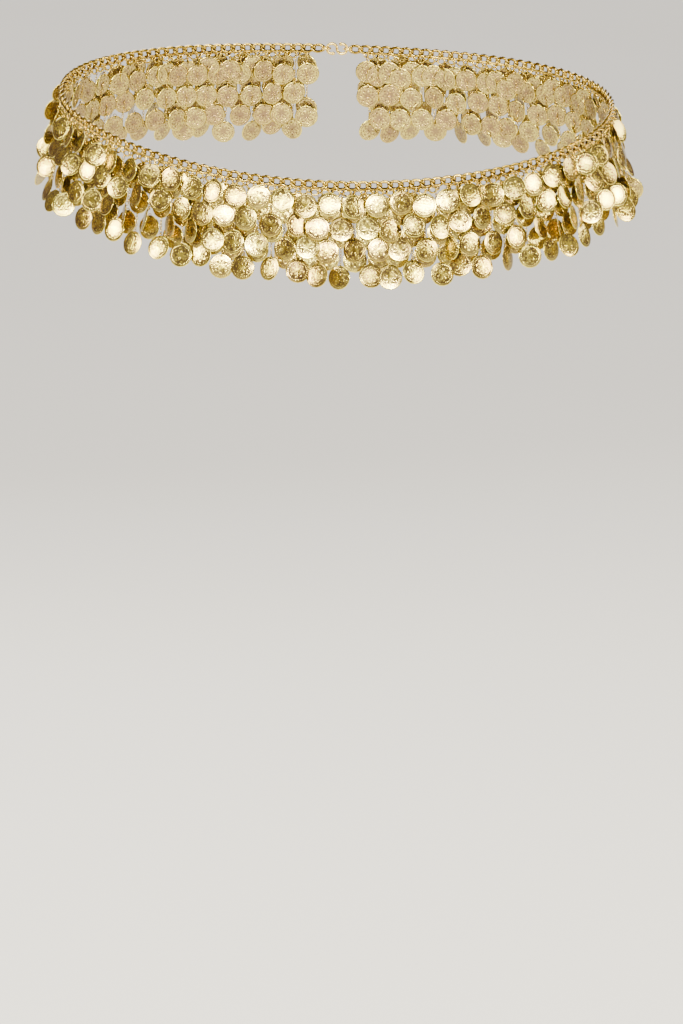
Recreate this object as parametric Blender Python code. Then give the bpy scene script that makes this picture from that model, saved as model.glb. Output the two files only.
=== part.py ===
"""A gold coin belt, worn on the hips: a curb chain, and below it four staggered rows of coins.

Metres, +Z up. The front faces -Y. The origin is the middle of the hips, level with the chain's
top edge at the two sides. The belt keeps the tilted oval that it takes on a hip: low in front,
a little higher behind, and higher on the -X side.
"""

import math
import random

import bmesh
import bpy
import numpy as np
from mathutils import Matrix, Vector

# The oval that the chain's inner side follows
HALF_WIDTH = 0.1685
HALF_DEPTH = 0.1200
FRONT_DIP = 0.0375
BACK_RISE = 0.0170
HIP_TILT = math.radians(-1.8)

# How far the hips lean out below the chain, as a slope from the vertical
FRONT_FLARE = math.radians(3.0)
SIDE_FLARE = math.radians(11.0)
BACK_FLARE = math.radians(8.0)

# The curb chain
LINKS = 140
CHAIN_HEIGHT = 0.0064
LINK_THICK = 0.0024
NECK_THICK = 0.0015
NECK_INSET = 0.0005

# The coins and the strands that carry them
FRINGES = 21
STRANDS_PER_FRINGE = 6
UNFRINGED = 0.0155
COIN_RADIUS = 0.0074
COIN_THICK = 0.0009
COIN_SIDES = 8
FIRST_ROW = 0.0150
ROW_STEP = 0.0139
COIN_LEAN = math.radians(12.0)
COIN_TURN = math.radians(2.0)
COIN_SWAY = math.radians(1.5)
STRAND_WIDTH = 0.0013
STRAND_DEPTH = 0.0012
SINK = 0.0008
COIN_SET_OUT = 0.00025
STRAND_RADIUS = STRAND_WIDTH / math.sqrt(3)

# The strip of joined rings that the strands hang from
GAP = 0.0003
STRIP_HEIGHT = 0.0020
STRIP_BACK = 0.0003
STRIP_FRONT = 0.0012
STRIP_SECTIONS = 4

# The fastening behind
HOOK_WIRE = 0.0009
HOOK_LOOP = 0.0032
HOOK_SWEEP = math.radians(285.0)
HOOK_STEPS = 10
END_WIRE = 0.00075
END_LINK_REACH = 0.0070
END_LINK_HALF_WIDTH = 0.0028
END_LINK_STEPS = 14
EYE_RADIUS = 0.0016
EYE_WALL = 0.0014
EYE_GAP = 0.0006
EYE_SIDES = 12
END_PLATE_THICK = 0.0020

SEED = 5


def clear_scene():
    """Removes what a new file holds."""
    for item in list(bpy.data.objects):
        bpy.data.objects.remove(item)


def new_collection(name):
    made = bpy.data.collections.new(name)
    bpy.context.scene.collection.children.link(made)
    return made


def metal(name, colour, roughness):
    """A plated metal, as a Principled BSDF."""
    material = bpy.data.materials.new(name)
    material.use_nodes = True
    shader = material.node_tree.nodes["Principled BSDF"]
    shader.inputs["Base Color"].default_value = (*colour, 1.0)
    shader.inputs["Metallic"].default_value = 1.0
    shader.inputs["Roughness"].default_value = roughness
    return material


def add_object(name, mesh, collection, material):
    made = bpy.data.objects.new(name, mesh)
    made.data.materials.append(material)
    collection.objects.link(made)
    return made


def oval_point(angle):
    """The chain's top inner edge. Angle 0 is the front, and 90 degrees is the +X side."""
    side, front = math.sin(angle), math.cos(angle)
    mean = (FRONT_DIP + BACK_RISE) / 2
    skew = (FRONT_DIP - BACK_RISE) / 2
    x = HALF_WIDTH * side
    height = -mean * front - skew * front * front + x * math.tan(HIP_TILT)
    return Vector((x, -HALF_DEPTH * front, height))


def measured_oval(steps=1440):
    """Angles once round from the back, and the length of chain up to each."""
    angles = np.linspace(-math.pi, math.pi, steps + 1)
    points = np.array([oval_point(angle) for angle in angles])
    strides = np.linalg.norm(np.diff(points, axis=0), axis=1)
    return angles, np.concatenate([[0.0], np.cumsum(strides)])


ANGLES, LENGTHS = measured_oval()
LOOP = float(LENGTHS[-1])
HOOK_END = 2 * HOOK_LOOP
END_WIRE_PLACE = HOOK_END - HOOK_WIRE - END_WIRE - GAP
EYE_PLACE = END_WIRE_PLACE + END_LINK_REACH + (EYE_RADIUS - END_WIRE - EYE_GAP)
CHAIN_START = EYE_PLACE - EYE_RADIUS - EYE_WALL
PITCH = (LOOP - 2 * CHAIN_START) / LINKS


class Place:
    """One place on the oval: its point, and the ways along, out and down the hip."""

    def __init__(self, length):
        angle = float(np.interp(length % LOOP, LENGTHS, ANGLES))
        step = 1e-4
        self.point = oval_point(angle)
        self.along = (oval_point(angle + step) - oval_point(angle - step)).normalized()
        self.out = Vector(
            (math.sin(angle) / HALF_WIDTH, -math.cos(angle) / HALF_DEPTH, 0.0)
        ).normalized()
        ends = FRONT_FLARE if math.cos(angle) > 0 else BACK_FLARE
        flare = ends + (SIDE_FLARE - ends) * math.sin(angle) ** 2
        self.down = Vector((0, 0, -math.cos(flare))) + self.out * math.sin(flare)

    def at(self, drop, depth):
        """A point this far down the hip and this far out from it."""
        return self.point + self.down * drop + self.out * depth


def swept(stations):
    """A closed solid through a row of four-cornered sections."""
    shape = bmesh.new()
    rows = [[shape.verts.new(corner) for corner in station] for station in stations]
    for before, after in zip(rows, rows[1:]):
        for i in range(4):
            k = (i + 1) % 4
            shape.faces.new((before[i], after[i], after[k], before[k]))
    shape.faces.new(rows[0])
    shape.faces.new(reversed(rows[-1]))
    bmesh.ops.recalc_face_normals(shape, faces=shape.faces)
    return shape


def mesh_of(name, shape):
    mesh = bpy.data.meshes.new(name)
    shape.to_mesh(mesh)
    shape.free()
    return mesh


def section(length, top, bottom, back, front):
    """Four corners of the chain or strip, square to the hip at this length."""
    place = Place(length)
    return [
        place.at(top, back),
        place.at(top, front),
        place.at(bottom, front),
        place.at(bottom, back),
    ]


def chain_sections():
    """Two sections a link: full at its middle, and drawn in at the neck between links."""
    sections = []
    for i in range(2 * LINKS + 1):
        length = CHAIN_START + i * PITCH / 2
        at_end = i in (0, 1, 2 * LINKS - 1, 2 * LINKS)
        if at_end:
            sections.append(section(length, 0.0, CHAIN_HEIGHT, 0.0, END_PLATE_THICK))
        elif i % 2:
            sections.append(section(length, 0.0, CHAIN_HEIGHT, 0.0, LINK_THICK))
        else:
            lower = CHAIN_HEIGHT - NECK_INSET
            sections.append(section(length, NECK_INSET, lower, 0.0, NECK_THICK))
    return sections


def eye_cutter(name, length, helpers, material):
    """A drill through the chain's end, square to the hip."""
    place = Place(length)
    shape = bmesh.new()
    bmesh.ops.create_cone(
        shape,
        cap_ends=True,
        segments=EYE_SIDES,
        radius1=EYE_RADIUS,
        radius2=EYE_RADIUS,
        depth=4 * END_PLATE_THICK,
        matrix=Matrix.Translation(place.at(CHAIN_HEIGHT / 2, END_PLATE_THICK / 2))
        @ place.out.to_track_quat("Z", "Y").to_matrix().to_4x4(),
    )
    cutter = add_object(name, mesh_of(name, shape), helpers, material)
    cutter.hide_render = True
    cutter.display_type = "WIRE"
    return cutter


def make_chain(parts, helpers, material):
    """The curb chain, open behind, with an eye near each end."""
    mesh = mesh_of("waist_chain", swept(chain_sections()))
    chain = add_object("waist_chain", mesh, parts, material)
    for side, length in (("left", EYE_PLACE), ("right", LOOP - EYE_PLACE)):
        cut = chain.modifiers.new(f"eye_{side}", "BOOLEAN")
        cut.operation = "DIFFERENCE"
        cut.solver = "EXACT"
        cut.object = eye_cutter(f"eye_cutter_{side}", length, helpers, material)


def ways_at(place):
    """Sideways, down the hip and out, as the columns of a turn."""
    down = place.down.normalized()
    side = down.cross(place.out).normalized()
    return Matrix((side, down, side.cross(down))).transposed()


def add_strand(shape, place, end_drop):
    """A three-sided bar from inside the strip down to its lowest coin."""
    start_drop = CHAIN_HEIGHT + GAP + STRIP_HEIGHT / 4
    middle = place.at((start_drop + end_drop) / 2, STRAND_DEPTH)
    flat_side_out = Matrix.Rotation(-math.pi / 2, 4, "X")
    bmesh.ops.create_cone(
        shape,
        cap_ends=True,
        segments=3,
        radius1=STRAND_RADIUS,
        radius2=STRAND_RADIUS,
        depth=end_drop - start_drop,
        matrix=Matrix.Translation(middle) @ ways_at(place).to_4x4() @ flat_side_out,
    )


def add_coin(shape, place, row, chance):
    """A flat round coin, let into its strand at the top and leaning out below."""
    drop = FIRST_ROW + row * ROW_STEP
    front_of_strand = STRAND_DEPTH + STRAND_RADIUS / 2
    hinge = place.at(drop - COIN_RADIUS + SINK, front_of_strand + COIN_SET_OUT)
    flat_top = Matrix.Rotation(math.pi / COIN_SIDES, 4, "Z")
    lean = Matrix.Rotation(COIN_LEAN, 3, "X")
    turn = Matrix.Rotation(chance.uniform(-COIN_TURN, COIN_TURN), 3, "Y")
    sway = Matrix.Rotation(chance.uniform(-COIN_SWAY, COIN_SWAY), 3, "Z")
    ways = ways_at(place) @ sway @ turn @ lean
    centre = hinge + ways @ Vector((0, COIN_RADIUS - SINK, 0))
    bmesh.ops.create_cone(
        shape,
        cap_ends=True,
        segments=COIN_SIDES,
        radius1=COIN_RADIUS,
        radius2=COIN_RADIUS,
        depth=COIN_THICK,
        matrix=Matrix.Translation(centre) @ ways.to_4x4() @ flat_top,
    )


def hang_piece(name, shape, hung, material):
    piece = add_object(name, mesh_of(name, shape), hung, material)
    piece.hide_render = True
    piece.display_type = "WIRE"


def make_fringe(number, parts, helpers, material, chance):
    """One stretch of the fringe: a strip of joined rings, six strands and twelve coins."""
    name = f"coin_fringe_{number + 1:02d}"
    span = (LOOP - 2 * UNFRINGED) / FRINGES
    start = UNFRINGED + number * span
    top = CHAIN_HEIGHT + GAP
    stations = [
        section(length, top, top + STRIP_HEIGHT, STRIP_BACK, STRIP_FRONT)
        for length in np.linspace(start + GAP / 2, start + span - GAP / 2, STRIP_SECTIONS)
    ]
    fringe = add_object(name, mesh_of(name, swept(stations)), parts, material)
    hung = bpy.data.collections.new(f"{name}_hung")
    helpers.children.link(hung)
    for i in range(STRANDS_PER_FRINGE):
        place = Place(start + (i + 0.5) * span / STRANDS_PER_FRINGE)
        rows = (0, 2) if i % 2 == 0 else (1, 3)
        lowest = FIRST_ROW + rows[-1] * ROW_STEP - COIN_RADIUS
        strand = bmesh.new()
        add_strand(strand, place, lowest + 2 * SINK)
        hang_piece(f"{name}_strand_{i}", strand, hung, material)
        for row in rows:
            coin = bmesh.new()
            add_coin(coin, place, row, chance)
            hang_piece(f"{name}_coin_{i}_{row}", coin, hung, material)
    join = fringe.modifiers.new("join", "BOOLEAN")
    join.operation = "UNION"
    join.solver = "EXACT"
    join.operand_type = "COLLECTION"
    join.collection = hung


def wire(name, points, radius, closed, parts, material):
    """A round wire along a smooth run of points."""
    line = bpy.data.curves.new(name, "CURVE")
    line.dimensions = "3D"
    line.bevel_depth = radius
    line.bevel_resolution = 1
    line.use_fill_caps = True
    spline = line.splines.new("POLY")
    spline.points.add(len(points) - 1)
    for knot, point in zip(spline.points, points):
        knot.co = (*point, 1.0)
    spline.use_cyclic_u = closed
    made = bpy.data.objects.new(name, line)
    line.materials.append(material)
    parts.objects.link(made)
    return made


def loop_points(middle, along, across, half_length, half_width):
    """A closed oval, given by its middle, its two ways and its half sizes."""
    turns = [2 * math.pi * i / END_LINK_STEPS for i in range(END_LINK_STEPS)]
    return [
        middle + along * (half_length * math.cos(a)) + across * (half_width * math.sin(a))
        for a in turns
    ]


def make_fastening(parts, material):
    """An S-hook in the middle of the back, and the link that joins it to each end."""
    back = Place(0.0)
    centre = back.at(CHAIN_HEIGHT / 2, END_PLATE_THICK / 2)
    up = back.out.cross(back.along).normalized()
    half_s = []
    for i in range(HOOK_STEPS + 1):
        angle = math.pi - HOOK_SWEEP * i / HOOK_STEPS
        reach = HOOK_LOOP * (1 + math.cos(angle))
        half_s.append((reach, HOOK_LOOP * math.sin(angle)))
    flat = [(-a, -b) for a, b in reversed(half_s[1:])] + half_s
    hook = [centre + back.along * a + up * b for a, b in flat]
    wire("closing_hook", hook, HOOK_WIRE, False, parts, material)
    for name, way in (("end_link_left", 1), ("end_link_right", -1)):
        near = END_WIRE_PLACE
        far = near + END_LINK_REACH
        middle = centre + back.along * (way * (near + far) / 2)
        half_length = (far - near) / 2
        oval = loop_points(middle, back.along, back.out, half_length, END_LINK_HALF_WIDTH)
        wire(name, oval, END_WIRE, True, parts, material)


def main():
    clear_scene()
    parts = new_collection("coin_belt")
    helpers = new_collection("helpers")
    chain_gold = metal("chain_gold", (0.72, 0.56, 0.26), 0.28)
    coin_gold = metal("coin_gold", (0.80, 0.68, 0.38), 0.22)
    clasp_gold = metal("clasp_gold", (0.70, 0.54, 0.25), 0.26)
    chance = random.Random(SEED)
    make_chain(parts, helpers, chain_gold)
    for number in range(FRINGES):
        make_fringe(number, parts, helpers, coin_gold, chance)
    make_fastening(parts, clasp_gold)


main()
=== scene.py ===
"""The looks of a gold coin belt: curb links, rings, fine chain and stamped coins."""

import math
import random

import bmesh
import bpy
import numpy as np
from mathutils import Matrix, Vector


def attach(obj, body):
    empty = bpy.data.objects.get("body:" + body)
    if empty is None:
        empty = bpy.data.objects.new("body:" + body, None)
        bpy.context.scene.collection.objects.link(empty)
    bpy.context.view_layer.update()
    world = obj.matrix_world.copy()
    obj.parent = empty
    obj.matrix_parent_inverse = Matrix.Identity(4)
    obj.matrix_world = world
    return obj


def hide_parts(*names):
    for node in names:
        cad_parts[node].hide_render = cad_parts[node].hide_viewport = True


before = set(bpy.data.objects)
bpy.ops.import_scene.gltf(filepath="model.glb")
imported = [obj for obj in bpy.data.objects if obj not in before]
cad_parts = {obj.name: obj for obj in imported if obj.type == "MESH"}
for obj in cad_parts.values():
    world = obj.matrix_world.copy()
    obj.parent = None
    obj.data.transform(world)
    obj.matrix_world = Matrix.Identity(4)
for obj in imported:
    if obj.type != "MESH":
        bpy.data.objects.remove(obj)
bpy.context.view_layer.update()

MM = 0.001

# The oval on the hips and the slope of the hips below it, as in the solids
HALF_WIDTH = 168.5 * MM
HALF_DEPTH = 120.0 * MM
FRONT_DIP = 37.5 * MM
BACK_RISE = 17.0 * MM
HIP_TILT = math.radians(-1.8)
FRONT_FLARE = math.radians(3.0)
SIDE_FLARE = math.radians(11.0)
BACK_FLARE = math.radians(8.0)

# The curb chain: links twisted a quarter turn from end to end, so that they lie flat
LINKS = 140
CURB_HEIGHT = 6.6 * MM
CHAIN_START = 8.7 * MM
CURB_WIRE = 1.02 * MM
CURB_TWIST = math.radians(45.0)
CURB_DEPTH = 1.4 * MM
# How far each piece may turn either way by chance, in degrees
CURB_LOOSE = (3, 1.5, 1.5)
RING_LOOSE = (4, 10, 4)
STRAND_LOOSE = (5, 12, 3)
COIN_LOOSE = (2, 2, 5)

# The two rows of small rings below it: one in each curb link's foot, and one that joins these
DROP_RING_RADIUS = 1.35 * MM
DROP_RING_WIRE = 0.58 * MM
DROP_RING_DROP = 6.9 * MM
DROP_RING_TURNS = (40, 52)
NET_RING_HALF = (2.15 * MM, 1.80 * MM)
NET_RING_WIRE = 0.65 * MM
NET_RING_DROP = 7.9 * MM
NET_RING_TIP = 16

# The strands of fine chain
FRINGES = 21
STRANDS_PER_FRINGE = 6
UNFRINGED = 15.5 * MM
STRAND_START = 9.0 * MM
STRAND_LINK_HALF = (1.25 * MM, 0.62 * MM)
STRAND_WIRE = 0.21 * MM
STRAND_PITCH = 1.78 * MM
STRAND_LINK_TURN = 45
STRAND_DEPTH = 1.2 * MM
# Strands stray sideways as they hang, by this share of their drop: in bunches that part and
# close again about every eight strands, unevenly, and each a little on its own
BUNCH_STRAY = 0.042
BUNCH_TURN = 0.8
BUNCH_UNEVEN = 1.5
BUNCH_DRIFT = 0.19
LONE_STRAY = 0.018

# The coins
COIN_RADIUS = 7.45 * MM
COIN_SEGMENTS = 16
FIRST_ROW = 15.0 * MM
ROW_STEP = 13.9 * MM
HOLE_INSET = 1.2 * MM
COIN_DEPTH = 2.3 * MM
UNDER_DEPTH = 0.5 * MM
UNDER_DROP = 4.9 * MM
COIN_UNEVEN = 1.5 * MM
HEM_UNEVEN = 2.4 * MM
# Coins at the hem and at the sides hang freer of the hips and turn more
COIN_SWING = 15.0
HEM_SWING = 26.0
SIDE_SWING = 9.0
MOST_SWING = 70.0
SWING_OUT = 2.2 * MM
COIN_LEAN = (3.0, 16.0)
UNDER_SWING = 6.0
UNDER_LEAN = (1.0, 4.0)
# Between the coins of the first row another shows from under them, in most places
TUCKED_DROP = 1.5 * MM
TUCKED_SHARE = 0.75
LAST_ROW = 3
COIN_RING_RADIUS = 1.25 * MM
COIN_RING_WIRE = 0.26 * MM
# Each coin's ring hangs from the strand, side on to the coin, give or take this turn
COIN_RING_DROP = 0.94 * MM
COIN_RING_TURN = 35.0

# The fastening behind
HOOK_LOOP = 3.2 * MM
HOOK_WIRE = 0.9 * MM
HOOK_SWEEP = math.radians(285.0)
HOOK_BALL = 1.2 * MM
HOOK_DEPTH = 1.0 * MM
HOOK_STEPS = 22
END_NEAR = 4.45 * MM
END_FAR = 9.55 * MM
END_HALF_WIDTH = 2.2 * MM
END_WIRE = 0.75 * MM

SECTIONS = 7
SEED = 11

# The studio. The floor is as far down as the ground is below the hips
FLOOR_DROP = 0.9
FLOOR_HALF = 30.0
CAMERA_DISTANCE = 3.5
CAMERA_ELEVATION = 7.0
CAMERA_LENS = 197.9
AIM_BELOW = 4.255
AIM_ASIDE = -0.046


# Helpers


def rgb(code):
    """An sRGB hex colour as linear values."""
    parts = [int(code[i : i + 2], 16) / 255 for i in (0, 2, 4)]
    return (
        *(p / 12.92 if p <= 0.04045 else ((p + 0.055) / 1.055) ** 2.4 for p in parts),
        1.0,
    )


def put(tree, kind, links=None, **settings):
    """Adds a node with its settings. links gives its inputs a value or another node's output."""
    node = tree.nodes.new(kind)
    for key, value in settings.items():
        setattr(node, key, value)
    for key, value in (links or {}).items():
        if isinstance(value, bpy.types.NodeSocket):
            tree.links.new(value, node.inputs[key])
        else:
            node.inputs[key].default_value = value
    return node


def oval_point(angle):
    """The chain's top inner edge. Angle 0 is the front, and 90 degrees is the +X side."""
    side, front = math.sin(angle), math.cos(angle)
    mean = (FRONT_DIP + BACK_RISE) / 2
    skew = (FRONT_DIP - BACK_RISE) / 2
    x = HALF_WIDTH * side
    height = -mean * front - skew * front * front + x * math.tan(HIP_TILT)
    return Vector((x, -HALF_DEPTH * front, height))


ANGLES = np.linspace(-math.pi, math.pi, 1441)
POINTS = np.array([oval_point(angle) for angle in ANGLES])
STRIDES = np.linalg.norm(np.diff(POINTS, axis=0), axis=1)
LENGTHS = np.concatenate([[0.0], np.cumsum(STRIDES)])
LOOP = float(LENGTHS[-1])
LINK_PITCH = (LOOP - 2 * CHAIN_START) / LINKS
FRINGE_SPAN = (LOOP - 2 * UNFRINGED) / FRINGES


class Place:
    """One place on the oval: its point, the ways out and down the hip, and a turn."""

    def __init__(self, length):
        angle = float(np.interp(length % LOOP, LENGTHS, ANGLES))
        self.angle = angle
        self.point = oval_point(angle)
        self.out = Vector(
            (math.sin(angle) / HALF_WIDTH, -math.cos(angle) / HALF_DEPTH, 0.0)
        ).normalized()
        ends = FRONT_FLARE if math.cos(angle) > 0 else BACK_FLARE
        flare = ends + (SIDE_FLARE - ends) * math.sin(angle) ** 2
        self.down = Vector((0, 0, -math.cos(flare))) + self.out * math.sin(flare)
        self.along = oval_point(angle + 1e-4) - oval_point(angle - 1e-4)

    def at(self, drop, depth):
        """A point this far down the hip and this far out from it."""
        return self.point + self.down * drop + self.out * depth

    def chain_turn(self):
        """Along the chain, up and out, as the columns of a turn."""
        along = self.along.normalized()
        out = (self.out - along * self.out.dot(along)).normalized()
        return Matrix((along, out.cross(along), out)).transposed()

    def hung_turn(self):
        """Sideways, up the strand and out, as the columns of a turn."""
        up = -self.down.normalized()
        side = up.cross(self.out).normalized()
        return Matrix((side, up, side.cross(up))).transposed()


def turned(axis, degrees):
    return Matrix.Rotation(math.radians(degrees), 3, axis)


# Shapes that repeat


def wire_mesh(name, points, radius, roundness, closed=True):
    """A round wire along the points, as a mesh."""
    line = bpy.data.curves.new(name, "CURVE")
    line.dimensions = "3D"
    line.bevel_depth = radius
    line.bevel_resolution = roundness
    line.use_fill_caps = True
    spline = line.splines.new("POLY")
    spline.points.add(len(points) - 1)
    for knot, point in zip(spline.points, points):
        knot.co = (*point, 1.0)
    spline.use_cyclic_u = closed
    holder = bpy.data.objects.new(name, line)
    bpy.context.scene.collection.objects.link(holder)
    depsgraph = bpy.context.evaluated_depsgraph_get()
    mesh = bpy.data.meshes.new_from_object(holder.evaluated_get(depsgraph))
    bpy.data.objects.remove(holder)
    mesh.shade_smooth()
    if closed:
        mark_recess(mesh, points, radius)
    return mesh


def mark_recess(mesh, points, radius):
    """Stores how far each vertex of a ring's wire faces the middle of the ring, where the metal
    paints shade.
    """
    centre = sum(points, Vector()) / len(points)
    recess = mesh.attributes.new("recess", "FLOAT", "POINT")
    for value, vertex in zip(recess.data, mesh.vertices):
        near = min(points, key=lambda point: (point - vertex.co).length_squared)
        inward = (centre - near).normalized()
        value.value = max(0.0, (vertex.co - near).dot(inward) / radius)


def oval(half_length, half_width, steps, way=(1, 0, 0), across=(0, 1, 0)):
    """Points round a flat oval."""
    way, across = Vector(way), Vector(across)
    turns = [2 * math.pi * i / steps for i in range(steps)]
    return [
        way * (half_length * math.cos(a)) + across * (half_width * math.sin(a)) for a in turns
    ]


def curb_points(steps=16):
    """An oval link whose two ends are twisted opposite ways about the chain's run."""
    half_length = (LINK_PITCH + 2.08 * CURB_WIRE) / 2
    half_height = CURB_HEIGHT / 2 - CURB_WIRE
    points = []
    for i in range(steps):
        turn = 2 * math.pi * (i + 0.5) / steps
        x, y = half_length * math.cos(turn), half_height * math.sin(turn)
        twist = CURB_TWIST * x / half_length
        points.append(Vector((x, y * math.cos(twist), y * math.sin(twist))))
    return points


# A coin's section from its face over the rim to its back, pressed from thin sheet
COIN_SECTION = [
    # radius as a share of the coin's, height in mm
    (0.50, 0.27),
    (0.94, 0.13),
    (1.00, 0.00),
    (0.93, -0.20),
]
COIN_FACE_MIDDLE = 0.31
COIN_BACK_MIDDLE = 0.14


def coin_mesh():
    """A domed round coin, hung from the spot near its top where the material paints a hole, which
    is its origin.
    """
    drop = COIN_RADIUS - HOLE_INSET
    shape = bmesh.new()
    flat = shape.loops.layers.uv.new("UVMap")
    # The material stamps the back the other way in, leaves it rougher, and paints it darker as
    # shade
    reverse = shape.faces.layers.float.new("reverse")
    rings = []
    for share, height in COIN_SECTION:
        radius = share * COIN_RADIUS
        rings.append(
            [
                shape.verts.new(
                    (
                        radius * math.sin(2 * math.pi * i / COIN_SEGMENTS),
                        radius * math.cos(2 * math.pi * i / COIN_SEGMENTS) - drop,
                        height * MM,
                    )
                )
                for i in range(COIN_SEGMENTS)
            ]
        )
    for inner, outer in zip(rings, rings[1:]):
        for i in range(COIN_SEGMENTS):
            k = (i + 1) % COIN_SEGMENTS
            shape.faces.new((inner[i], outer[i], outer[k], inner[k]))
    for ring, height, back in (
        (rings[0], COIN_FACE_MIDDLE, False),
        (rings[-1], COIN_BACK_MIDDLE, True),
    ):
        middle = shape.verts.new((0, -drop, height * MM))
        for i in range(COIN_SEGMENTS):
            edge = ring[i], ring[(i + 1) % COIN_SEGMENTS]
            shape.faces.new((*edge, middle))[reverse] = float(back)
            shape.edges.get(edge).smooth = not back
    bmesh.ops.recalc_face_normals(shape, faces=shape.faces)
    for face in shape.faces:
        face.smooth = True
        for corner in face.loops:
            spot = corner.vert.co
            corner[flat].uv = (
                0.5 + spot.x / (2 * COIN_RADIUS),
                0.5 + (spot.y + drop) / (2 * COIN_RADIUS),
            )
    mesh = bpy.data.meshes.new("coin")
    shape.to_mesh(mesh)
    shape.free()
    return mesh


# The tree that repeats them


def repeat_tree():
    """Sets one shape on each point, turned as the point says and then by chance."""
    tree = bpy.data.node_groups.new("repeat_piece", "GeometryNodeTree")
    for name, kind in (
        ("Places", "NodeSocketGeometry"),
        ("Piece", "NodeSocketObject"),
        ("Loose turn", "NodeSocketVector"),
        ("Seed", "NodeSocketInt"),
        ("Metal", "NodeSocketMaterial"),
    ):
        tree.interface.new_socket(name, in_out="INPUT", socket_type=kind)
    tree.interface.new_socket("Pieces", in_out="OUTPUT", socket_type="NodeSocketGeometry")
    given = put(tree, "NodeGroupInput").outputs
    shape = put(tree, "GeometryNodeObjectInfo", {"Object": given["Piece"]})
    aim = put(tree, "GeometryNodeInputNamedAttribute", {"Name": "turn"}, data_type="FLOAT_VECTOR")
    base = put(tree, "FunctionNodeEulerToRotation", {0: aim.outputs[0]})
    least = put(
        tree,
        "ShaderNodeVectorMath",
        {0: given["Loose turn"], 1: (-1, -1, -1)},
        operation="MULTIPLY",
    )
    chance = put(
        tree,
        "FunctionNodeRandomValue",
        {0: least.outputs[0], 1: given["Loose turn"], "Seed": given["Seed"]},
        data_type="FLOAT_VECTOR",
    )
    loose = put(tree, "FunctionNodeEulerToRotation", {0: chance.outputs[0]})
    turn = put(
        tree,
        "FunctionNodeRotateRotation",
        {0: base.outputs[0], 1: loose.outputs[0]},
        rotation_space="LOCAL",
    )
    placed = put(
        tree,
        "GeometryNodeInstanceOnPoints",
        {
            "Points": given["Places"],
            "Instance": shape.outputs["Geometry"],
            "Rotation": turn.outputs[0],
        },
    )
    number = put(tree, "FunctionNodeRandomValue", {"Seed": given["Seed"]}, data_type="FLOAT")
    marked = put(
        tree,
        "GeometryNodeStoreNamedAttribute",
        {"Geometry": placed.outputs[0], "Name": "piece_number", "Value": number.outputs[1]},
        data_type="FLOAT",
        domain="INSTANCE",
    )
    real = put(tree, "GeometryNodeRealizeInstances", {0: marked.outputs[0]})
    coated = put(
        tree, "GeometryNodeSetMaterial", {"Geometry": real.outputs[0], "Material": given["Metal"]}
    )
    put(tree, "NodeGroupOutput", {0: coated.outputs[0]})
    return tree


REPEAT = repeat_tree()


def repeated(name, mesh, places, metal, loose, seed=SEED):
    """A shape set at each (point, turn) of places, as one plain mesh object."""
    spots = bpy.data.meshes.new(name)
    spots.from_pydata([point for point, _ in places], [], [])
    aim = spots.attributes.new("turn", "FLOAT_VECTOR", "POINT")
    for value, (_, turn) in zip(aim.data, places):
        value.vector = turn.to_euler()
    piece = bpy.data.objects.new(name, spots)
    shape = bpy.data.objects.new(f"{name}_shape", mesh)
    for made in (piece, shape):
        bpy.context.scene.collection.objects.link(made)
    inputs = {
        "Piece": shape,
        "Loose turn": [math.radians(a) for a in loose],
        "Seed": seed,
        "Metal": metal,
    }
    repeat = piece.modifiers.new("repeat", "NODES")
    repeat.node_group = REPEAT
    for item in REPEAT.interface.items_tree:
        if item.name in inputs:
            repeat[item.identifier] = inputs[item.name]
    depsgraph = bpy.context.evaluated_depsgraph_get()
    plain = bpy.data.meshes.new_from_object(
        piece.evaluated_get(depsgraph), preserve_all_data_layers=True, depsgraph=depsgraph
    )
    piece.modifiers.remove(repeat)
    piece.data = plain
    bpy.data.objects.remove(shape)
    return piece


# Metals


def gold(name, pale, deep, roughness, grain_mm, bump_mm):
    """Plated gold: two tones in soft patches, painted shade inside each ring, uneven polish, and a
    fine tumbled grain.
    """
    material = bpy.data.materials.new(name)
    material.use_nodes = True
    tree = material.node_tree
    shader = tree.nodes["Principled BSDF"]
    shader.inputs["Metallic"].default_value = 1.0
    spot = put(tree, "ShaderNodeTexCoord").outputs["Object"]
    # Patches a few millimetres across, where the plating is thinner or has warmed
    patches = put(
        tree, "ShaderNodeTexNoise", {"Vector": spot, "Scale": 1 / (5 * MM), "Detail": 3.0}
    )
    tone = put(
        tree,
        "ShaderNodeMix",
        {0: patches.outputs["Fac"], 6: rgb(pale), 7: rgb(deep)},
        data_type="RGBA",
    )
    # Painted shade: the inside of each ring's wire, which faces the ring's middle, is darkened
    # towards brown
    recess = put(tree, "ShaderNodeAttribute", attribute_name="recess").outputs["Fac"]
    painted_inner_shade = put(
        tree, "ShaderNodeMapRange", {0: recess, 1: 0.1, 2: 0.9, 3: 0.0, 4: 0.75}
    )
    shaded = put(
        tree,
        "ShaderNodeMix",
        {0: painted_inner_shade.outputs[0], 6: tone.outputs[2], 7: rgb("4C3C1E")},
        data_type="RGBA",
    )
    tree.links.new(shaded.outputs[2], shader.inputs["Base Color"])
    # Polish that varies with handling
    polish = put(
        tree,
        "ShaderNodeMapRange",
        {0: patches.outputs["Fac"], 1: 0.3, 2: 0.7, 3: roughness[0], 4: roughness[1]},
    )
    tree.links.new(polish.outputs[0], shader.inputs["Roughness"])
    # The fine grain of tumbled wire, which breaks up the highlights
    grain = put(
        tree, "ShaderNodeTexNoise", {"Vector": spot, "Scale": 1 / (grain_mm * MM), "Detail": 2.0}
    )
    bump = put(
        tree,
        "ShaderNodeBump",
        {"Height": grain.outputs["Fac"], "Strength": 0.5, "Distance": bump_mm * MM},
    )
    tree.links.new(bump.outputs[0], shader.inputs["Normal"])
    return material


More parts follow.
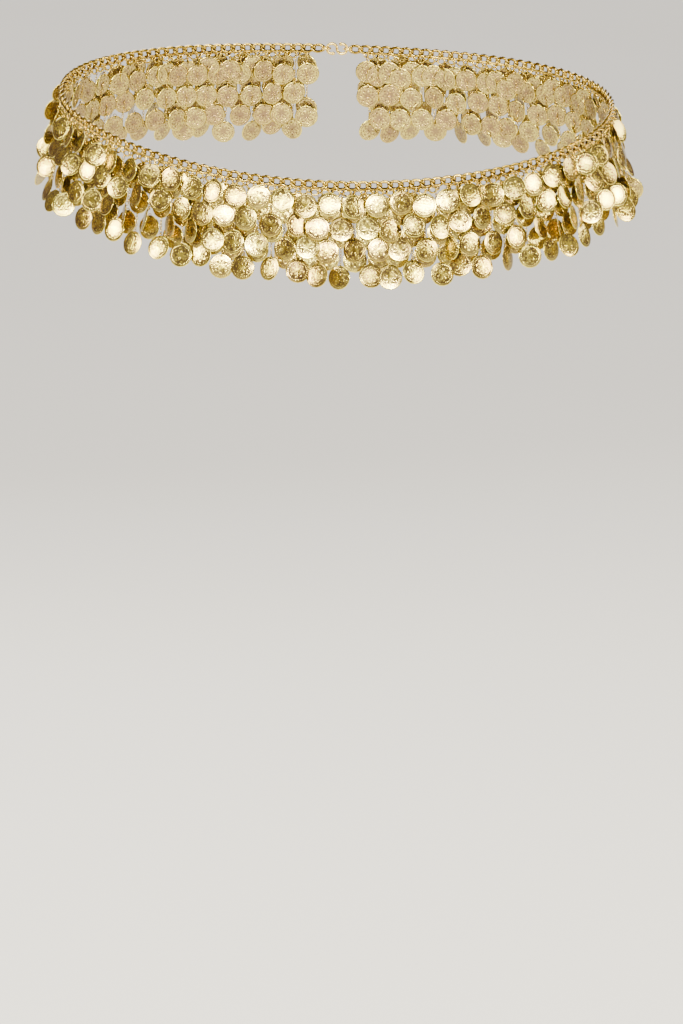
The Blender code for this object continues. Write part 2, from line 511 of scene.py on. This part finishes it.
def stamped_gold():
    """A stamped coin: a beaded ring, an eight-petalled flower and dots, with painted shade in the
    low parts of the relief and the raised parts left bright, patchy with wear.
    """
    material = bpy.data.materials.new("stamped coin gold")
    material.use_nodes = True
    tree = material.node_tree
    shader = tree.nodes["Principled BSDF"]
    shader.inputs["Metallic"].default_value = 1.0
    number = put(tree, "ShaderNodeAttribute", attribute_name="piece_number").outputs["Fac"]
    flat = put(tree, "ShaderNodeUVMap", uv_map="UVMap").outputs[0]
    # The face's own plane, with its edge at a distance of 1 from the middle
    centred = put(
        tree,
        "ShaderNodeVectorMath",
        {0: flat, 1: (2, 2, 0), 2: (-1, -1, 0)},
        operation="MULTIPLY_ADD",
    ).outputs[0]
    reach = put(tree, "ShaderNodeVectorMath", {0: centred}, operation="LENGTH").outputs["Value"]
    round_about = put(
        tree, "ShaderNodeTexGradient", {0: centred}, gradient_type="RADIAL"
    ).outputs["Fac"]
    spun = put(
        tree, "ShaderNodeMath", {0: round_about, 1: number}, operation="ADD"
    ).outputs[0]
    waves = {}
    for what, count in (("petals", 8), ("beads", 30)):
        phase = put(
            tree, "ShaderNodeMath", {0: spun, 1: count * 2 * math.pi}, operation="MULTIPLY"
        )
        waves[what] = put(
            tree, "ShaderNodeMath", {0: phase.outputs[0]}, operation="COSINE"
        ).outputs[0]
    # Each petal's edge, as the distance that the face has left before it
    petal_edge = put(
        tree,
        "ShaderNodeMath",
        {0: waves["petals"], 1: 0.15, 2: 0.37},
        operation="MULTIPLY_ADD",
    )
    left = put(
        tree, "ShaderNodeMath", {0: petal_edge.outputs[0], 1: reach}, operation="SUBTRACT"
    )
    petals = put(
        tree,
        "ShaderNodeMapRange",
        {0: left.outputs[0], 1: -0.03, 2: 0.06, 3: 0.0, 4: 0.7},
        interpolation_type="SMOOTHSTEP",
    ).outputs[0]
    boss = put(
        tree,
        "ShaderNodeMapRange",
        {0: reach, 1: 0.08, 2: 0.17, 3: 0.6, 4: 0.0},
        interpolation_type="SMOOTHSTEP",
    ).outputs[0]
    # The raised rim
    rim = put(
        tree,
        "ShaderNodeMapRange",
        {0: reach, 1: 0.87, 2: 0.96, 3: 0.0, 4: 0.6},
        interpolation_type="SMOOTHSTEP",
    ).outputs[0]
    marks = [petals, boss, rim]
    # Beads inside the rim, and a dot in each gap between petals
    for wave, sign, middle, width in (
        (waves["beads"], 1.0, 0.77, 0.085),
        (waves["petals"], -1.0, 0.56, 0.10),
    ):
        aside = put(tree, "ShaderNodeMath", {0: reach, 1: middle}, operation="SUBTRACT")
        away = put(tree, "ShaderNodeMath", {0: aside.outputs[0]}, operation="ABSOLUTE")
        band = put(
            tree,
            "ShaderNodeMapRange",
            {0: away.outputs[0], 1: 0.0, 2: width, 3: 1.0, 4: 0.0},
            interpolation_type="SMOOTHSTEP",
        )
        crest = put(
            tree,
            "ShaderNodeMapRange",
            {0: wave, 1: -0.4 * sign, 2: 0.9 * sign, 3: 0.0, 4: 1.0},
            interpolation_type="SMOOTHSTEP",
        )
        marks.append(
            put(
                tree,
                "ShaderNodeMath",
                {0: band.outputs[0], 1: crest.outputs[0]},
                operation="MULTIPLY",
            ).outputs[0]
        )
    height = marks[0]
    for mark in marks[1:]:
        height = put(tree, "ShaderNodeMath", {0: height, 1: mark}, operation="ADD").outputs[0]
    reverse = put(tree, "ShaderNodeAttribute", attribute_name="reverse").outputs["Fac"]
    spot = put(tree, "ShaderNodeTexCoord").outputs["Object"]
    # Dents and uneven striking, about 3 mm across, different on each coin
    wear = put(
        tree, "ShaderNodeTexNoise", {"Vector": spot, "Scale": 1 / (3.0 * MM), "Detail": 1.0}
    ).outputs["Fac"]
    # Painted shade where the relief is low, none where it stands up, both patchy with random wear,
    # and the other way on the back
    ground = put(
        tree, "ShaderNodeMath", {0: reverse, 1: 0.35, 2: wear}, operation="MULTIPLY_ADD"
    ).outputs[0]
    share = put(
        tree, "ShaderNodeMath", {0: reverse, 1: -1.8, 2: 0.9}, operation="MULTIPLY_ADD"
    ).outputs[0]
    depth = put(
        tree, "ShaderNodeMath", {0: height, 1: share, 2: ground}, operation="MULTIPLY_ADD"
    )
    painted_relief_shade_and_wear = put(
        tree, "ShaderNodeMapRange", {0: depth.outputs[0], 1: 0.50, 2: 1.05, 3: 0.0, 4: 1.0}
    )
    # Coins from different batches, from pale to deep gold
    batch = put(tree, "ShaderNodeValToRGB", {0: number})
    ramp = batch.color_ramp
    ramp.elements[0].color = rgb("E9D860")
    ramp.elements[1].color = rgb("C8B04C")
    middle = ramp.elements.new(0.55)
    middle.color = rgb("DAC654")
    # The back, which faces in towards the hips, is painted darker as shade
    painted_back_shade = put(tree, "ShaderNodeMath", {0: reverse, 1: 0.50}, operation="MULTIPLY")
    plated = put(
        tree,
        "ShaderNodeMix",
        {0: painted_back_shade.outputs[0], 6: batch.outputs[0], 7: rgb("7C6E54")},
        data_type="RGBA",
    )
    # Painted shade colour, reddish brown, mixed into the low places of the relief
    shade = put(
        tree,
        "ShaderNodeMix",
        {0: 0.74, 6: plated.outputs[2], 7: rgb("6A4E46")},
        data_type="RGBA",
    )
    tone = put(
        tree,
        "ShaderNodeMix",
        {0: painted_relief_shade_and_wear.outputs[0], 6: shade.outputs[2], 7: plated.outputs[2]},
        data_type="RGBA",
    )
    # Painted shade for the hole that the ring goes through: a dark spot, as the coin has no hole
    # cut in it
    hole_reach = (COIN_RADIUS - HOLE_INSET) / COIN_RADIUS
    from_hole = put(
        tree, "ShaderNodeVectorMath", {0: centred, 1: (0, hole_reach, 0)}, operation="DISTANCE"
    ).outputs["Value"]
    painted_hole_shade = put(
        tree, "ShaderNodeMapRange", {0: from_hole, 1: 0.06, 2: 0.11, 3: 1.0, 4: 0.0}
    )
    with_painted_hole = put(
        tree,
        "ShaderNodeMix",
        {0: painted_hole_shade.outputs[0], 6: tone.outputs[2], 7: rgb("2A2010")},
        data_type="RGBA",
    )
    tree.links.new(with_painted_hole.outputs[2], shader.inputs["Base Color"])
    # A little grime lies in the low places, so they aren't all bare metal
    bare = put(tree, "ShaderNodeMapRange", {0: painted_relief_shade_and_wear.outputs[0], 1: 0.0, 2: 1.0, 3: 0.95, 4: 1.0})
    tree.links.new(bare.outputs[0], shader.inputs["Metallic"])
    polish = put(tree, "ShaderNodeMapRange", {0: wear, 1: 0.3, 2: 0.7, 3: 0.12, 4: 0.26})
    rough = put(
        tree,
        "ShaderNodeMath",
        {0: reverse, 1: 0.04, 2: polish.outputs[0]},
        operation="MULTIPLY_ADD",
    )
    tree.links.new(rough.outputs[0], shader.inputs["Roughness"])
    # The stamp stands out about 0.04 mm on the face. It is sunk into the back, and drawn deeper
    # there than it is, so that it shows from across the belt
    stamp = put(
        tree,
        "ShaderNodeMath",
        {0: reverse, 1: -0.575 * MM, 2: 0.065 * MM},
        operation="MULTIPLY_ADD",
    )
    struck = put(
        tree,
        "ShaderNodeBump",
        {"Height": height, "Strength": 0.6, "Distance": stamp.outputs[0]},
    )
    dented = put(
        tree,
        "ShaderNodeBump",
        {"Height": wear, "Strength": 0.2, "Distance": 0.16 * MM, "Normal": struck.outputs[0]},
    )
    tree.links.new(dented.outputs[0], shader.inputs["Normal"])
    return material


CHAIN_GOLD = gold("curb chain gold", "C4A640", "624A24", (0.05, 0.16), 0.8, 0.012)
FINE_GOLD = gold("fine chain gold", "D6BC52", "8A6C2E", (0.05, 0.16), 0.5, 0.012)
CLASP_GOLD = gold("cast clasp gold", "E2C664", "AC8A3C", (0.16, 0.30), 0.9, 0.03)
COIN_GOLD = stamped_gold()


# The belt


def chain_places():
    places = []
    for i in range(LINKS):
        place = Place(CHAIN_START + (i + 0.5) * LINK_PITCH)
        places.append((place.at(CURB_HEIGHT / 2, CURB_DEPTH), place.chain_turn()))
    return places


def section_range(k):
    """Where one section of the fringe starts and stops along the chain."""
    share = (LOOP - 2 * UNFRINGED) / SECTIONS
    return UNFRINGED + k * share, UNFRINGED + (k + 1) * share


def ring_places(k):
    """Drop rings through the foot of each curb link, and net rings that join them."""
    start, stop = section_range(k)
    drops, nets = [], []
    for i in range(LINKS + 1):
        middle = CHAIN_START + (i + 0.5) * LINK_PITCH
        joint = CHAIN_START + i * LINK_PITCH
        if start <= middle < stop:
            place = Place(middle)
            turn = place.hung_turn() @ turned("Y", DROP_RING_TURNS[i % 2])
            drops.append((place.at(DROP_RING_DROP, CURB_DEPTH), turn))
        if start + LINK_PITCH / 2 <= joint < stop:
            place = Place(joint)
            turn = place.hung_turn() @ turned("X", NET_RING_TIP if i % 2 else -NET_RING_TIP)
            nets.append((place.at(NET_RING_DROP, CURB_DEPTH), turn))
    return drops, nets


def strand_strays():
    """How far each strand strays sideways as it hangs, as a share of its drop."""
    chance = random.Random(SEED + 1)
    strays = []
    for i in range(FRINGES * STRANDS_PER_FRINGE):
        bunch = math.sin(BUNCH_TURN * i + BUNCH_UNEVEN * math.sin(BUNCH_DRIFT * i))
        strays.append(BUNCH_STRAY * bunch + chance.uniform(-LONE_STRAY, LONE_STRAY))
    return strays


def hung_places(k, chance, strays):
    """Fine chain links, coins and coin rings of one section of the fringe."""
    links, coins, rings = [], [], []
    strands = FRINGES * STRANDS_PER_FRINGE // SECTIONS
    for i in range(k * strands, (k + 1) * strands):
        place = Place(UNFRINGED + (i + 0.5) * FRINGE_SPAN / STRANDS_PER_FRINGE)
        square = place.hung_turn()
        hung = square @ turned("Z", math.degrees(math.atan(strays[i])))
        aside = square.col[0] * strays[i]
        last = LAST_ROW - 1 + i % 2
        hole = COIN_RADIUS - HOLE_INSET
        end = FIRST_ROW + last * ROW_STEP - hole
        count = round((end - STRAND_START) / STRAND_PITCH)
        step = (end - STRAND_START) / count
        for n in range(count):
            turn = hung @ turned("Y", STRAND_LINK_TURN if n % 2 else -STRAND_LINK_TURN)
            below = (n + 0.5) * step
            links.append((place.at(STRAND_START + below, STRAND_DEPTH) + aside * below, turn))
        # A second coin shows from under each coin but the lowest
        under = [(row * ROW_STEP + UNDER_DROP, False) for row in range(i % 2, LAST_ROW, 2)]
        if i % 2 and chance.random() < TUCKED_SHARE:
            under.append((TUCKED_DROP, False))
        over = [(row * ROW_STEP, True) for row in range(i % 2, last + 1, 2)]
        for below, is_over in over + under:
            drop = FIRST_ROW - hole + below
            if is_over:
                lowest = below == last * ROW_STEP
                drop += chance.uniform(-1, 1) * (HEM_UNEVEN if lowest else COIN_UNEVEN)
                spread = HEM_SWING if lowest else COIN_SWING
                swing = chance.gauss(0, spread + SIDE_SWING * math.sin(place.angle) ** 4)
                swing = max(-MOST_SWING, min(MOST_SWING, swing))
                depth = COIN_DEPTH + SWING_OUT * abs(math.sin(math.radians(swing)))
                lean = -chance.uniform(*COIN_LEAN)
            else:
                drop += chance.uniform(-1, 1) * COIN_UNEVEN
                swing, depth = chance.gauss(0, UNDER_SWING), UNDER_DEPTH
                lean = -chance.uniform(*UNDER_LEAN)
            turn = hung @ turned("Y", swing) @ turned("X", lean)
            shift = aside * (drop - STRAND_START)
            coins.append((place.at(drop, depth) + shift, turn))
            across = 90 + chance.uniform(-COIN_RING_TURN, COIN_RING_TURN)
            middle = place.at(drop - COIN_RING_DROP, (depth + STRAND_DEPTH) / 2)
            rings.append((middle + shift, hung @ turned("Y", across)))
    return links, coins, rings


def finish_piece(piece, nodes):
    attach(piece, "root")
    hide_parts(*nodes)


def joined(name, pieces):
    """Several mesh objects as one."""
    shape = bmesh.new()
    for piece in pieces:
        shape.from_mesh(piece.data)
    mesh = bpy.data.meshes.new(name)
    shape.to_mesh(mesh)
    shape.free()
    for material in pieces[0].data.materials:
        mesh.materials.append(material)
    for piece in pieces:
        bpy.data.objects.remove(piece)
    made = bpy.data.objects.new(name, mesh)
    bpy.context.scene.collection.objects.link(made)
    return made


def make_belt():
    curb = wire_mesh("curb_link", curb_points(), CURB_WIRE, roundness=1)
    chain = repeated("curb_chain", curb, chain_places(), CHAIN_GOLD, CURB_LOOSE)
    finish_piece(chain, ["waist_chain"])
    drop_oval = oval(DROP_RING_RADIUS, DROP_RING_RADIUS, steps=12)
    drop_ring = wire_mesh("drop_ring", drop_oval, DROP_RING_WIRE, roundness=0)
    net_ring = wire_mesh("net_ring", oval(*NET_RING_HALF, steps=14), NET_RING_WIRE, roundness=0)
    coin_oval = oval(COIN_RING_RADIUS, COIN_RING_RADIUS, steps=10)
    coin_ring = wire_mesh("coin_ring", coin_oval, COIN_RING_WIRE, roundness=0)
    upright = oval(*STRAND_LINK_HALF, steps=8, way=(0, 1, 0), across=(1, 0, 0))
    fine = wire_mesh("fine_link", upright, STRAND_WIRE, roundness=0)
    coin = coin_mesh()
    chance = random.Random(SEED)
    strays = strand_strays()
    each = FRINGES // SECTIONS
    for k in range(SECTIONS):
        nodes = [f"coin_fringe_{each * k + n + 1:02d}" for n in range(each)]
        drops, nets = ring_places(k)
        links, coins, rings = hung_places(k, chance, strays)
        seed = SEED + 10 * k
        net = joined(
            f"ring_net_{k + 1}",
            [
                repeated("drops", drop_ring, drops, FINE_GOLD, RING_LOOSE, seed),
                repeated("nets", net_ring, nets, FINE_GOLD, RING_LOOSE, seed + 1),
            ],
        )
        strands = repeated(f"strands_{k + 1}", fine, links, FINE_GOLD, STRAND_LOOSE, seed + 2)
        hooked = repeated(f"coin_rings_{k + 1}", coin_ring, rings, FINE_GOLD, RING_LOOSE, seed + 3)
        struck = repeated(f"coins_{k + 1}", coin, coins, COIN_GOLD, COIN_LOOSE, seed + 4)
        for piece in (net, strands, hooked, struck):
            finish_piece(piece, nodes)


def solid_wire(name, points, radius, closed, metal):
    mesh = wire_mesh(name, points, radius, roundness=3, closed=closed)
    mesh.materials.append(metal)
    piece = bpy.data.objects.new(name, mesh)
    bpy.context.scene.collection.objects.link(piece)
    return piece


def make_fastening():
    """The S-hook with a ball on each tip, and the two end links it holds."""
    back = Place(0.0)
    turn = back.chain_turn()
    along, up, out = turn.col[0], turn.col[1], turn.col[2]
    centre = back.at(CURB_HEIGHT / 2, HOOK_DEPTH)
    half = []
    for i in range(HOOK_STEPS + 1):
        angle = math.pi - HOOK_SWEEP * i / HOOK_STEPS
        half.append((HOOK_LOOP * (1 + math.cos(angle)), HOOK_LOOP * math.sin(angle)))
    flat = [(-a, -b) for a, b in reversed(half[1:])] + half
    line = [centre + along * a + up * b for a, b in flat]
    hook = solid_wire("s_hook", line, HOOK_WIRE, False, CLASP_GOLD)
    shape = bmesh.new()
    shape.from_mesh(hook.data)
    for tip in (line[0], line[-1]):
        bmesh.ops.create_uvsphere(
            shape, u_segments=16, v_segments=10, radius=HOOK_BALL, matrix=Matrix.Translation(tip)
        )
    shape.to_mesh(hook.data)
    shape.free()
    hook.data.shade_smooth()
    finish_piece(hook, ["closing_hook"])
    for name, way in (("left", 1), ("right", -1)):
        middle = centre + along * (way * (END_NEAR + END_FAR) / 2)
        ring = oval((END_FAR - END_NEAR) / 2, END_HALF_WIDTH, 24, along, out)
        line = [middle + point for point in ring]
        link = solid_wire(f"end_ring_{name}", line, END_WIRE, True, CLASP_GOLD)
        finish_piece(link, [f"end_link_{name}"])


make_belt()
make_fastening()


# Studio


def add_plain(name, mesh, material):
    mesh.materials.append(material)
    made = bpy.data.objects.new(name, mesh)
    bpy.context.scene.collection.objects.link(made)
    return made


def make_floor():
    """A wide pale floor, well below the belt."""
    material = bpy.data.materials.new("pale studio floor")
    material.use_nodes = True
    tree = material.node_tree
    shader = tree.nodes["Principled BSDF"]
    spot = put(tree, "ShaderNodeTexCoord").outputs["Object"]
    # Very faint clouding, so that the floor isn't a dead flat tone
    cloud = put(tree, "ShaderNodeTexNoise", {"Vector": spot, "Scale": 0.7, "Detail": 2.0})
    tone = put(
        tree,
        "ShaderNodeMix",
        {0: cloud.outputs["Fac"], 6: rgb("EBE8E3"), 7: rgb("E3E0DA")},
        data_type="RGBA",
    )
    tree.links.new(tone.outputs[2], shader.inputs["Base Color"])
    shader.inputs["Roughness"].default_value = 0.9
    shape = bmesh.new()
    bmesh.ops.create_grid(shape, x_segments=1, y_segments=1, size=FLOOR_HALF)
    mesh = bpy.data.meshes.new("floor")
    shape.to_mesh(mesh)
    shape.free()
    floor = add_plain("floor", mesh, material)
    floor.location = (0, 0, -FLOOR_DROP)


def softbox(name, place, aim, size, power, colour):
    light = bpy.data.lights.new(name, "AREA")
    light.shape = "RECTANGLE"
    light.size, light.size_y = size
    light.energy = power
    light.color = rgb(colour)[:3]
    lamp = bpy.data.objects.new(name, light)
    bpy.context.scene.collection.objects.link(lamp)
    lamp.location = place
    lamp.rotation_euler = (Vector(aim) - Vector(place)).to_track_quat("-Z", "Y").to_euler()


def make_light():
    # name, place, aim, size, power, colour
    for row in (
        ("front", (-0.35, -2.9, 0.66), (0, 0, -0.05), (2.2, 0.24), 165, "FFFCDC"),
        ("flash", (0.25, -3.1, 0.72), (0, 0, -0.05), (0.45, 0.26), 85, "FFFFFF"),
        ("left", (-2.6, -0.9, 0.8), (0, 0, -0.05), (0.5, 0.6), 60, "FFF6D4"),
        ("right", (2.5, -1.3, 0.55), (0, 0, -0.05), (0.6, 0.6), 68, "FFF6D4"),
        ("right behind", (2.3, 1.1, 0.8), (0, 0, -0.05), (1.2, 0.8), 46, "FFF6D4"),
        ("near right", (1.5, -2.7, 1.3), (0, 0, -0.05), (0.4, 0.4), 18, "FFF8E2"),
        ("top", (0.0, -0.4, 2.4), (0, 0, 0), (1.4, 0.8), 60, "FFFFFF"),
        ("behind", (-0.9, 2.6, 0.9), (0, 0, -0.05), (1.8, 0.7), 45, "FFFAF0"),
    ):
        softbox(*row)
    sun = bpy.data.lights.new("sky", "SUN")
    sun.energy = 3.5
    sun.angle = math.radians(40.0)
    lamp = bpy.data.objects.new("sky", sun)
    bpy.context.scene.collection.objects.link(lamp)
    lamp.rotation_euler = (math.radians(28.0), 0.0, math.radians(-28.0))
    world = bpy.data.worlds.new("studio")
    world.use_nodes = True
    tree = world.node_tree
    tree.nodes.clear()
    ray = put(tree, "ShaderNodeTexCoord").outputs["Generated"]
    split = put(tree, "ShaderNodeSeparateXYZ", {0: ray})
    # Dim near the horizon and brighter overhead, so that the metal has darks to show
    ramp = put(tree, "ShaderNodeValToRGB", {0: split.outputs["Z"]})
    ramp.color_ramp.elements[0].color = rgb("7C5658")
    ramp.color_ramp.elements[1].color = rgb("D8D3BE")
    ground = put(tree, "ShaderNodeBackground", {"Color": ramp.outputs[0], "Strength": 0.8})
    put(tree, "ShaderNodeOutputWorld", {"Surface": ground.outputs[0]})
    bpy.context.scene.world = world


def make_camera():
    """In front and a little above, aimed below the belt so that it is high in the frame."""
    distance, elevation = CAMERA_DISTANCE, math.radians(CAMERA_ELEVATION)
    eye = Vector((0, -distance * math.cos(elevation), distance * math.sin(elevation)))
    data = bpy.data.cameras.new("camera")
    data.sensor_width = 36.0
    data.lens = CAMERA_LENS
    camera = bpy.data.objects.new("camera", data)
    bpy.context.scene.collection.objects.link(camera)
    camera.location = eye
    tip = math.radians(90.0 - CAMERA_ELEVATION - AIM_BELOW)
    camera.rotation_euler = (tip, 0.0, math.radians(AIM_ASIDE))
    bpy.context.scene.camera = camera


make_floor()
make_light()
make_camera()
